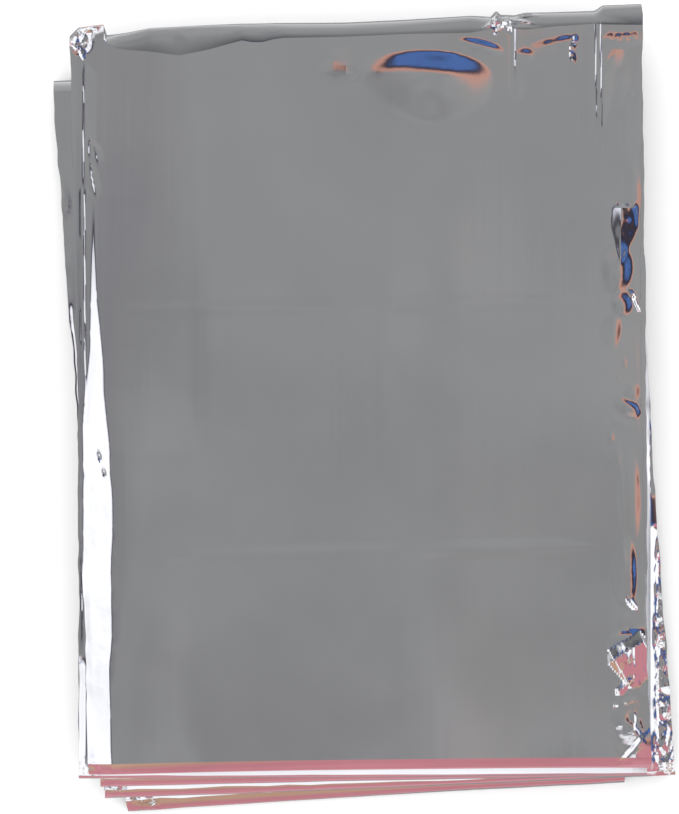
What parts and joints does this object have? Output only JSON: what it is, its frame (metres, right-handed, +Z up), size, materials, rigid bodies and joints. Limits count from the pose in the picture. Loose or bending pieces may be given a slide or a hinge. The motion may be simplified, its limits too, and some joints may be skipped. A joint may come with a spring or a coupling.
{
  "type": "folded emergency foil blanket",
  "caption": "Thin silver metallised film blanket, folded small into a flat, crinkled packet of back-and-forth layers that lies on a surface.",
  "frame": {"origin": "centre of the folded packet's outline, on the surface that it lies on", "axes": "+Y up the packet's long side, +X to its right seen from above, +Z up out of the surface"},
  "size_m": [0.0922, 0.1186, 0.0136],
  "materials": {
    "foil": "bright vapour-metallised polyester film with fold creases and crinkles"
  },
  "bodies": {
    "root": {"blanket": "foil"}
  },
  "joints": []
}
